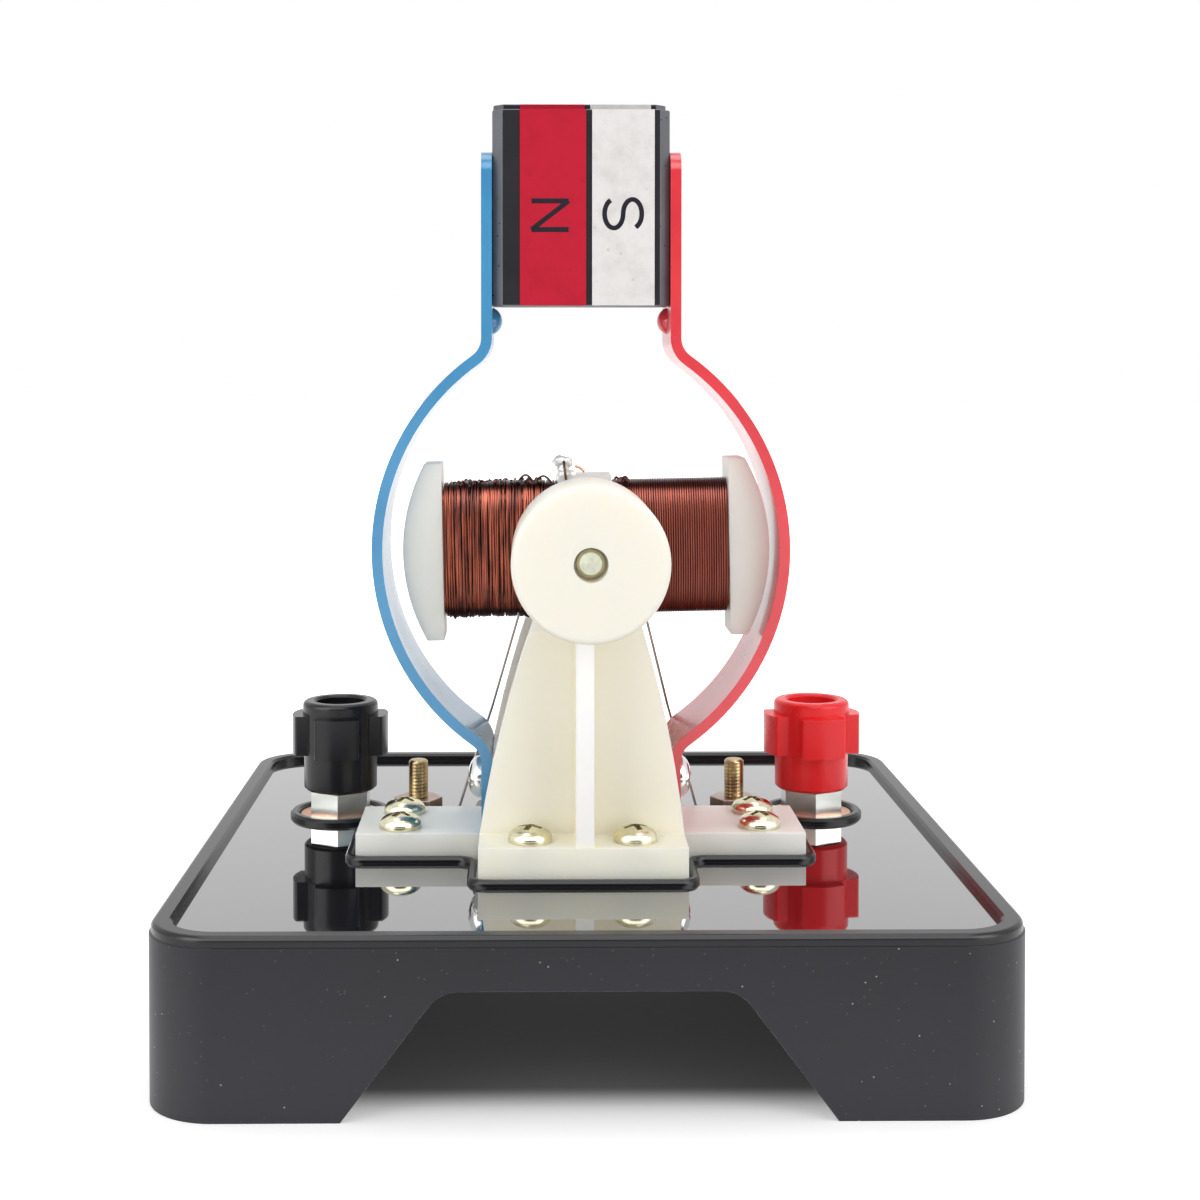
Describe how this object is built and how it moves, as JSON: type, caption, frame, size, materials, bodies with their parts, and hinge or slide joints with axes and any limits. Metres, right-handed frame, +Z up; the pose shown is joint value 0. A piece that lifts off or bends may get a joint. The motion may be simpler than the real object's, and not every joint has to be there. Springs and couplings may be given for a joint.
{
  "type": "demonstration electric motor",
  "caption": "Open classroom motor: wound armature on nylon stands between bent pole strips under a block magnet, on a square base with binding posts.",
  "frame": {"origin": "centre of the square base, on the table", "axes": "+X to the red side, +Y to the back along the shaft, +Z up"},
  "size_m": [0.1444, 0.1444, 0.1705],
  "materials": {
    "base_black": "polished black moulding, satin sides",
    "ivory_nylon": "natural nylon, slightly waxy",
    "white_nylon": "white nylon, slightly waxy",
    "paint_blue": "gloss enamel",
    "paint_red": "gloss enamel",
    "ferrite": "pressed and ground ferrite",
    "label_red": "printed card, matt",
    "label_white": "printed card, matt",
    "enamel_copper": "copper wire in clear brown enamel",
    "soft_iron": "plain soft iron",
    "bright_steel": "ground steel",
    "nickel": "nickel plate",
    "zinc_yellow": "yellow passivated zinc",
    "brass": "turned brass",
    "copper": "bare copper and bronze",
    "knob_black": "gloss moulding",
    "knob_red": "gloss moulding"
  },
  "bodies": {
    "base": {"base_shell": "base_black", "front_stand": "ivory_nylon", "rear_stand": "ivory_nylon", "bracket_left": "white_nylon", "bracket_right": "white_nylon", "pole_strip_blue": "paint_blue", "pole_strip_red": "paint_red", "brush_left": "copper", "brush_right": "copper", "brush_stud_left": "zinc_yellow", "brush_stud_right": "zinc_yellow", "brush_nuts": "zinc_yellow", "stand_screws": "zinc_yellow", "bracket_screws": "zinc_yellow", "pole_screws": "nickel", "pole_nuts": "nickel", "under_nuts": "zinc_yellow", "post_stud_black": "nickel", "post_stud_red": "nickel", "post_washers": "copper", "post_under_nuts": "brass", "link_strips": "brass"},
    "armature": {"armature_bobbin": "white_nylon", "armature_core": "soft_iron", "coil_left": "enamel_copper", "coil_right": "enamel_copper", "winding_left": "enamel_copper", "winding_right": "enamel_copper", "shaft": "bright_steel", "shaft_collar": "brass", "commutator_sleeve": "white_nylon", "commutator_segment_a": "copper", "commutator_segment_b": "copper"},
    "magnet": {"magnet_front": "ferrite", "magnet_rear": "ferrite", "label_red": "label_red", "label_white": "label_white"},
    "bush_black": {"knob_bush_black": "brass"},
    "bush_red": {"knob_bush_red": "brass"},
    "knob_black": {"knob_black": "knob_black"},
    "knob_red": {"knob_red": "knob_red"}
  },
  "joints": [
    {"name": "armature_spin", "type": "hinge", "parent": "base", "child": "armature", "pos_m": [0.0011, 0, 0.0859], "axis": [0, 1, 0], "continuous": true},
    {"name": "magnet_lift", "type": "slide", "parent": "base", "child": "magnet", "axis": [0, 0, 1], "range_m": [0, 0.04]},
    {"name": "bush_black_climb", "type": "slide", "parent": "base", "child": "bush_black", "axis": [0, 0, 1], "range_m": [0, 0.0046]},
    {"name": "knob_black_turn", "type": "hinge", "parent": "bush_black", "child": "knob_black", "pos_m": [-0.0485, 0.0163, 0.04], "axis": [0, 0, 1], "range_deg": [0, 1296]},
    {"name": "bush_red_climb", "type": "slide", "parent": "base", "child": "bush_red", "axis": [0, 0, 1], "range_m": [0, 0.0046]},
    {"name": "knob_red_turn", "type": "hinge", "parent": "bush_red", "child": "knob_red", "pos_m": [0.0485, 0.0163, 0.04], "axis": [0, 0, 1], "range_deg": [0, 1296]}
  ],
  "couplings": [
    {"joint": "bush_black_climb", "follows": "knob_black_turn", "m_per_rad": 0.00019894},
    {"joint": "bush_red_climb", "follows": "knob_red_turn", "m_per_rad": 0.00019894}
  ]
}
